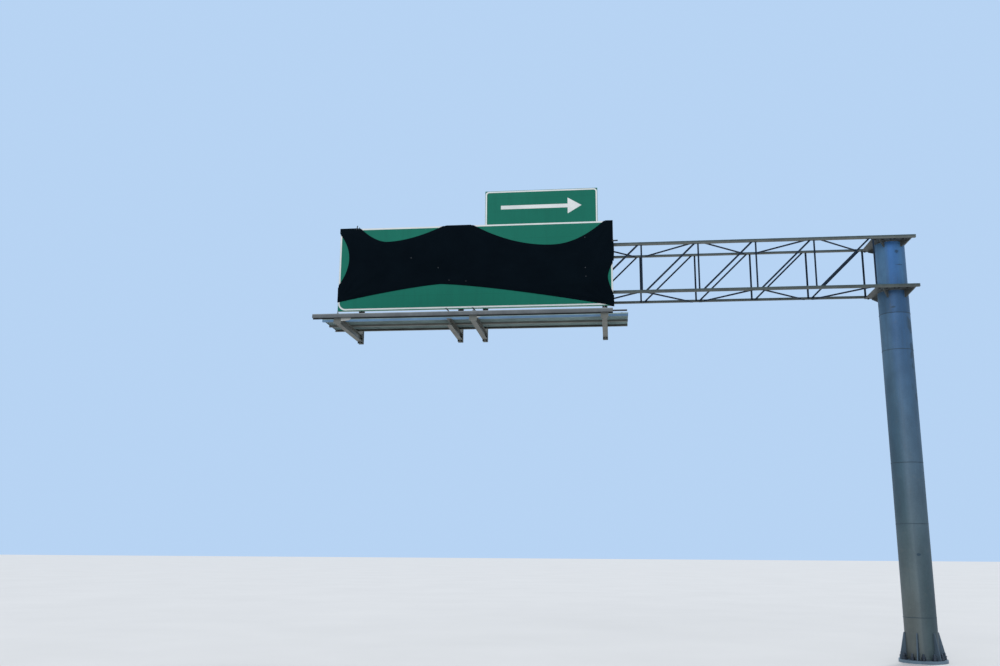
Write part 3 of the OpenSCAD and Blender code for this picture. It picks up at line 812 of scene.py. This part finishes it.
# Cover, with the hem's swags as shares of the sign's size: start, deepest place, end, depth, bend
TOP_SWAGS = ((0.076, 0.176, 0.384, 0.172, 1.8), (0.497, 0.782, 0.970, 0.264, 2.0))
BOTTOM_SWAG = (0.0, 0.380, 1.0, 0.300, 1.3)
BOTTOM_LEFT = 0.110
LEFT_SWAG = (0.230, 0.588, 0.925, 0.036, 2.0)
RIGHT_SWAG = (0.150, 0.337, 0.500, 0.018, 1.6)
# Where the cloth bulges over the right edge, as a swag in shares of the wrap's radius
RIGHT_BULGE = (0.50, 0.66, 0.79, 1.1, 2.0)
# Stretches of each edge where the cloth is tied round the panel, as shares of that edge
TIED = {"left": ((-1, 0.205), (0.93, 2)), "right": ((-1, 0.13), (0.52, 2)),
        "top": ((-1, 0.065), (0.395, 0.487), (0.975, 2)), "bottom": ((0.985, 2),)}
# How far the cloth goes round a tied edge, and its radius there
WRAP = 34 * MM
WRAP_R = 15 * MM
# Ties that pull folds into the cloth: shares of the sign's width and height, and strength
FOLD_TIES = ((0.0, 1.0, 1.0), (1.0, 1.0, 1.0), (0.0, BOTTOM_LEFT, 0.8), (1.0, 0.0, 0.9), (0.44, 1.0, 0.3))
# Places across and up the sign, in metres: the eyelets, and the ties' free ends after their radius
GROMMETS = ((1.6, 1.16), (2.2, 0.92), (2.44, 0.64), (2.81, 0.61), (5.37, 1.51), (5.37, 0.84), (5.38, 0.65))
TIE_ENDS = ((11 * MM, (0.352, 1.840), (0.366, 1.880), (0.372, 1.938)),
            (16 * MM, (5.945, 1.420), (5.995, 1.424), (6.065, 1.428)),
            (11 * MM, (0.405, 1.838), (0.412, 1.872), (0.428, 1.893)))


def swag(share, start, deepest, end, depth, bend):
    """Depth of one swag at a share of its edge, zero outside it."""
    if not start < share < end:
        return 0.0
    near = start if share < deepest else end
    return depth * (1 - abs((share - deepest) / (near - deepest)) ** bend)


def hem_top(u):
    return SIGN_H * (1 - sum(swag(u, *s) for s in TOP_SWAGS))


def hem_bottom(u):
    start, deepest, end, depth, bend = BOTTOM_SWAG
    climb = depth - BOTTOM_LEFT if u < deepest else depth
    near = start if u < deepest else end
    return SIGN_H * (depth - climb * abs((u - deepest) / (near - deepest)) ** bend)


def cover_point(u, v):
    """Place in the sign's plane of a point of the cloth, from its four hems."""
    left = SIGN_W * swag(v, *LEFT_SWAG)
    right = SIGN_W * (1 - swag(v, *RIGHT_SWAG))
    x = left * (1 - u) + right * u
    z = hem_bottom(u) * (1 - v) + hem_top(u) * v
    return x, z


def fold_height(x, z):
    """How far the cloth stands off the sheeting: folds from its ties, broad sweeps and small creases."""
    height = 0.0
    for k, (u, v, strength) in enumerate(FOLD_TIES):
        dx, dz = x - SIGN_W * u, z - SIGN_H * v
        r = math.hypot(dx, dz) + 0.05
        wobble = noise.noise(Vector((dx * 1.3, dz * 1.3, k * 7.0)))
        fold = math.sin(math.atan2(dz, dx) * (13 + 3 * k) + wobble * 3.0 + k)
        height += strength * 9 * MM * fold * min(1.0, r / 0.35) * math.exp(-r / 1.5)
    sweep = noise.noise(Vector((x * 0.55, z * 2.4, 3.0))) * 16 * MM
    small = noise.noise(Vector((x * 3.1, z * 6.0, 9.0))) * 5 * MM
    return 22 * MM + max(-16 * MM, height + sweep + small)


def tied_share(side, share):
    """One where the cloth is tied round this side's edge, falling to zero beside it."""
    ease = 0.012
    ramps = [((share - start) / ease + 0.4, (end - share) / ease + 0.4) for start, end in TIED[side]]
    return max(min(1.0, *ends) for ends in ramps)


def perimeter(columns, rows):
    """Grid places round the cloth, each with the way out over the panel's edge."""
    wide = columns + 1
    loop = ([(i, 0) for i in range(columns)] + [(columns, j) for j in range(rows)]
            + [(i, rows) for i in range(columns, 0, -1)] + [(0, j) for j in range(rows, 0, -1)])
    places = []
    for i, j in loop:
        u, v, out, share = i / columns, j / rows, Vector((0, 0)), 0.0
        rightwards = 1 + swag(v, *RIGHT_BULGE)
        sides = (("bottom", u, (0, -1), j == 0), ("right", v, (rightwards, 0), i == columns),
                 ("top", u, (0, 1), j == rows), ("left", v, (-1, 0), i == 0))
        for side, along, way, here in sides:
            amount = tied_share(side, along) if here else 0.0
            if amount > 0.15:
                out, share = out + Vector(way), max(share, amount)
        places.append((j * wide + i, out, share))
    return places


def wrap_edges(points, faces, places):
    """Carries the cloth over the panel's edge and back along its side where it is tied."""
    steps, rows = 6, []
    for vertex, out, share in places:
        if share <= 0:
            rows.append(None)
            continue
        x, y, z = points[vertex]
        row, length = [vertex], WRAP * share
        for k in range(1, steps + 1):
            e = length * k / steps
            turn = min(e / WRAP_R, math.pi / 2)
            beyond, back = WRAP_R * math.sin(turn), WRAP_R * (1 - math.cos(turn))
            back += max(0.0, e - WRAP_R * math.pi / 2)
            row.append(len(points))
            points.append((x + out.x * beyond, y + back, z + out.y * beyond))
        rows.append(row)
    for here, after in zip(rows, rows[1:] + rows[:1]):
        if here and after:
            faces += [(here[k + 1], after[k + 1], after[k], here[k]) for k in range(steps)]


def sign_cover():
    """The cloth over the sign, a single sheet with scalloped hems."""
    columns, rows, hem_rows = 270, 90, 10
    wide, points, faces = columns + 1, [], []
    for j in range(rows + 1):
        for i in range(wide):
            x, z = cover_point(i / columns, j / rows)
            lift = fold_height(x, z) * min(1.0, 0.30 + min(i, columns - i, j, rows - j) / hem_rows)
            points.append((SIGN_LOW.x + x, FACE_Y - SHEETING - lift, SIGN_LOW.z + z))
    for j in range(rows):
        for a in range(j * wide, j * wide + columns):
            faces.append((a, a + 1, a + wide + 1, a + wide))
    wrap_edges(points, faces, perimeter(columns, rows))
    shell = Shell()
    shell.add(points, faces, True)
    cover = shell.finish("cloth_cover", "cover_cloth", "cover_cloth")
    thick = cover.modifiers.new("thickness", "SOLIDIFY")
    thick.thickness, thick.offset = 1.6 * MM, 1.0
    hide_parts("sign_cover")
    return cover


def tie_ends():
    """Free ends of the ties that hold the cover."""
    shell = Shell()
    for radius, *path in TIE_ENDS:
        bar = []
        for k, (x, z) in enumerate(path):
            bar.append((SIGN_LOW.x + x, FACE_Y - 12 * MM + 6 * MM * k, SIGN_LOW.z + z))
        shell.tube(bar, radius, 8)
    shell.finish("tie_ends", "tie_plastic", "cover_cloth")


def grommets():
    """Small metal eyelets in the cloth."""
    shell = Shell()
    for x, z in GROMMETS:
        seat = (SIGN_LOW.x + x, FACE_Y - SHEETING - 1.8 * MM - fold_height(x, z), SIGN_LOW.z + z)
        shell.turned(seat, (0, -1, 0), [(0, 10 * MM), (1.5 * MM, 10 * MM), (2.5 * MM, 6 * MM)], 14)
    shell.finish("grommets", "conduit", "cover_cloth")


# Walkway
def bar_grating():
    """Open bar grating: upright bearing bars along the walkway with rods across."""
    lo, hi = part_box("walkway_grating")
    pitch, half_bar, rod_pitch, rod = 30 * MM, 2.4 * MM, 100 * MM, 3.2 * MM
    shell = Shell()
    for y in spaced(lo.y + half_bar, hi.y - half_bar, int((hi.y - lo.y) / pitch) + 1):
        shell.box((lo.x, y - half_bar, lo.z), (hi.x, y + half_bar, hi.z))
    rods = int((hi.x - lo.x) / rod_pitch)
    half = (hi.x - lo.x) / rods / 2
    for x in spaced(lo.x + half, hi.x - half, rods):
        shell.turned((x, lo.y, hi.z - rod), (0, 1, 0), [(0, rod), (hi.y - lo.y, rod)], 4, math.pi / 4)
    for x0, x1 in ((lo.x, lo.x + 2 * half_bar), (hi.x - 2 * half_bar, hi.x)):
        shell.box((x0, lo.y, lo.z), (x1, hi.y, hi.z))
    piece = shell.finish("bar_grating", "grating", "grating")
    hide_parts("walkway_grating")


def grating_clips():
    """Saddle clips that bolt the grating down to its stringers."""
    shell = Shell()
    lo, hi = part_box("walkway_grating")
    margin, count = 0.12, 10
    half_x, half_y, shank, head = 19 * MM, 32 * MM, 5 * MM, 9 * MM
    for line in ("front", "mid", "rear"):
        y, foot, top = middle(f"walkway_{line}_stringer").y, lo.z - 12 * MM, hi.z - 4 * MM
        for x in spaced(lo.x + margin, hi.x - margin, count):
            shell.box((x - half_x, y - half_y, top), (x + half_x, y + half_y, top + 3 * MM))
            shell.turned((x, y, foot), UP, [(0, shank), (top - foot, shank)], 8)
            shell.turned((x, y, foot), UP, [(0, head), (7 * MM, head)], 6)
    shell.finish("grating_clips", "fastener", "grating")


# Lighting rail: its lip's height, the plate's reach beside bracket_4, how far the lug bolts are behind
# the rail and below the lugs' tops, and how far the tabs stand from their brackets' lines
RAIL_LIP = 22 * MM
PLATE_REACH = 0.20
LUG_HOLE = (20 * MM, 63 * MM)
TAB_SHIFT = {"bracket_2": 14 * MM, "bracket_3": 22 * MM}


def rail_fittings():
    """Lug bolts, conduit straps and the welds of the rail to its end plates."""
    shell = Shell(13)
    rail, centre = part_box("light_rail"), middle("light_conduit")
    radius, margin, count = high("light_conduit").z - centre.z, 0.35, 6
    for bracket in LONG_BRACKETS:
        x, tip = middle(bracket).x, rail[1].y
        for s in (-1, 1):
            seat = (x + s * 3.5 * MM, tip + LUG_HOLE[0], high(bracket).z - LUG_HOLE[1])
            shell.nut(seat, (s, 0, 0), 12.5 * MM, 6 * MM)
        y, z = tip - 1.5 * MM, rail[0].z - 1 * MM
        shell.bead((x - 70 * MM, y, z), (x + 70 * MM, y, z), 3 * MM)
    arc = [Vector((0, math.cos(a), math.sin(a))) for a in (math.pi * k / 10 for k in range(-1, 12))]
    for x in spaced(rail[0].x + margin, rail[1].x - margin, count):
        for at in (x - 8 * MM, x, x + 8 * MM):
            strap = [Vector((at, centre.y, centre.z)) + p * (radius + 1.5 * MM) for p in arc]
            shell.tube(strap, 1.8 * MM, 5)
        shell.bolt((x, centre.y + radius + 5 * MM, rail[0].z + 7 * MM), UP, 6 * MM)
    shell.finish("rail_fittings", "fastener", "galvanised_beam")


def rail_plates():
    """Plates behind the rail beside two brackets, the longer one with a washer on it."""
    shell = Shell()
    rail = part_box("light_rail")
    tip, foot, thick = rail[1].y, rail[0].z, 8 * MM
    x, end = high("bracket_4").x, high("bracket_4").x + PLATE_REACH
    longer = [(x, foot - 62 * MM), (x + PLATE_REACH * 0.8, foot - 50 * MM), (end, foot - 20 * MM),
              (end, foot + 50 * MM), (x, foot + 70 * MM)]
    flat_plate(shell, longer, tip, thick)
    washer = [(0, 12 * MM), (0.5 * MM, 12 * MM)]
    shell.turned((x + 75 * MM, tip - 0.2 * MM, foot - 28 * MM), (0, -1, 0), washer, 16)
    x = high("bracket_2").x
    shorter = [(x, foot - 50 * MM), (x + 75 * MM, foot - 40 * MM), (x, foot + 20 * MM)]
    flat_plate(shell, shorter, tip, thick)
    shell.finish("rail_plates", "new_zinc", "galvanised_beam")


def rail_lip():
    """Lip under the rail's rear edge, near black as painted shade, broken at the long brackets and the
    plate beside one.
    """
    shell = Shell()
    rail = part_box("light_rail")
    stops = [rail[0].x]
    for bracket in reversed(LONG_BRACKETS):
        plate = PLATE_REACH if bracket == "bracket_4" else 0.0
        stops += [low(bracket).x, high(bracket).x + plate]
    stops.append(rail[1].x)
    for x0, x1 in zip(stops[::2], stops[1::2]):
        shell.box((x0, rail[1].y - 3 * MM, rail[0].z - RAIL_LIP), (x1, rail[1].y, rail[0].z))
    shell.finish("rail_lip", "dark_fastener", "galvanised_beam")


def rail_tabs():
    """Bent tabs that lean over the rail on two brackets' lines."""
    shell = Shell()
    y, top, half = middle("light_rail").y - 3 * MM, high("light_rail").z, 15 * MM
    for bracket, shift in TAB_SHIFT.items():
        x = middle(bracket).x + shift
        path = [(x + 36 * MM, top), (x + 30 * MM, top + 12 * MM), (x - 26 * MM, top + 72 * MM)]
        for (x0, z0), (x1, z1) in zip(path, path[1:]):
            outline = [(x0 - half, z0), (x0 + half, z0), (x1 + half, z1), (x1 - half, z1)]
            flat_plate(shell, outline, y, 6 * MM)
    shell.finish("rail_tabs", "dark_fastener", "galvanised_beam")


# Staging
def camera():
    made = add_object("camera", bpy.data.cameras.new("camera"))
    turn = (Matrix.Rotation(math.radians(CAMERA_YAW), 4, "Z")
            @ Matrix.Rotation(math.radians(90 + CAMERA_PITCH), 4, "X")
            @ Matrix.Rotation(math.radians(CAMERA_ROLL), 4, "Z"))
    made.matrix_world = Matrix.Translation(CAMERA_AT) @ turn
    made.data.lens, made.data.sensor_width, made.data.sensor_fit = CAMERA_LENS, 36.0, "HORIZONTAL"
    made.data.clip_start, made.data.clip_end = 0.1, 400
    bpy.context.scene.camera = made


def floor():
    half = 160
    mesh = bpy.data.meshes.new("floor")
    corners = [(-half, -half, 0), (half, -half, 0), (half, half, 0), (-half, half, 0)]
    mesh.from_pydata(corners, [], [(0, 1, 2, 3)])
    material, tree, shader = start_material("floor")
    tint = ramp(tree, noise_of(tree, 0.3, 3.0), [(0.3, (0.60, 0.61, 0.62)), (0.7, (0.63, 0.64, 0.65))])
    set_inputs(tree, shader, {"Base Color": tint, "Roughness": 0.9})
    mesh.materials.append(material)
    made = add_object("floor", mesh)


def sun(name, azimuth, elevation, strength, angle):
    made = add_object(name, bpy.data.lights.new(name, "SUN"))
    a, e = math.radians(azimuth), math.radians(elevation)
    towards = Vector((math.sin(a) * math.cos(e), -math.cos(a) * math.cos(e), math.sin(e)))
    made.rotation_euler = towards.to_track_quat("Z", "Y").to_euler()
    made.data.energy, made.data.angle = strength, math.radians(angle)


def world():
    """Even soft light, and a plain pale sky for what the camera or a mirror sees."""
    made = bpy.data.worlds.new("studio")
    bpy.context.scene.world = made
    made.use_nodes = True
    tree = made.node_tree
    light = tree.nodes["Background"]
    set_inputs(tree, light, {"Color": (0.93, 0.96, 1.0), "Strength": 0.66})
    seen = add_node(tree, "Background", {"Color": (0.475, 0.655, 0.90), "Strength": 1.0})
    path = add_node(tree, "LightPath", {})
    share = maths(tree, "MAXIMUM", path.outputs["Is Camera Ray"], path.outputs["Is Glossy Ray"])
    share = maths(tree, "MAXIMUM", share, path.outputs["Is Transmission Ray"])
    inputs = {0: share, 1: light.outputs["Background"], 2: seen.outputs["Background"]}
    mix = add_node(tree, "MixShader", inputs)
    set_inputs(tree, tree.nodes["World Output"], {"Surface": mix.outputs["Shader"]})


def stage_set():
    bpy.context.scene.view_settings.view_transform = "Standard"
    camera()
    floor()
    world()
    sun("high_sun", 150, 62, 1.5, 12)
    sun("front_fill", -18, 28, 0.88, 35)


stage_set()
dress_frame()
anchor_bolts()
column_welds()
seat_bolts()
seat_welds()
lattice_welds()
hanger_bolts()
foot_bolts()
plank_clips()
sign_border()
exit_border()
exit_arrow()
cover = sign_cover()
tie_ends()
grommets()
bar_grating()
grating_clips()
rail_fittings()
rail_plates()
rail_lip()
rail_tabs()
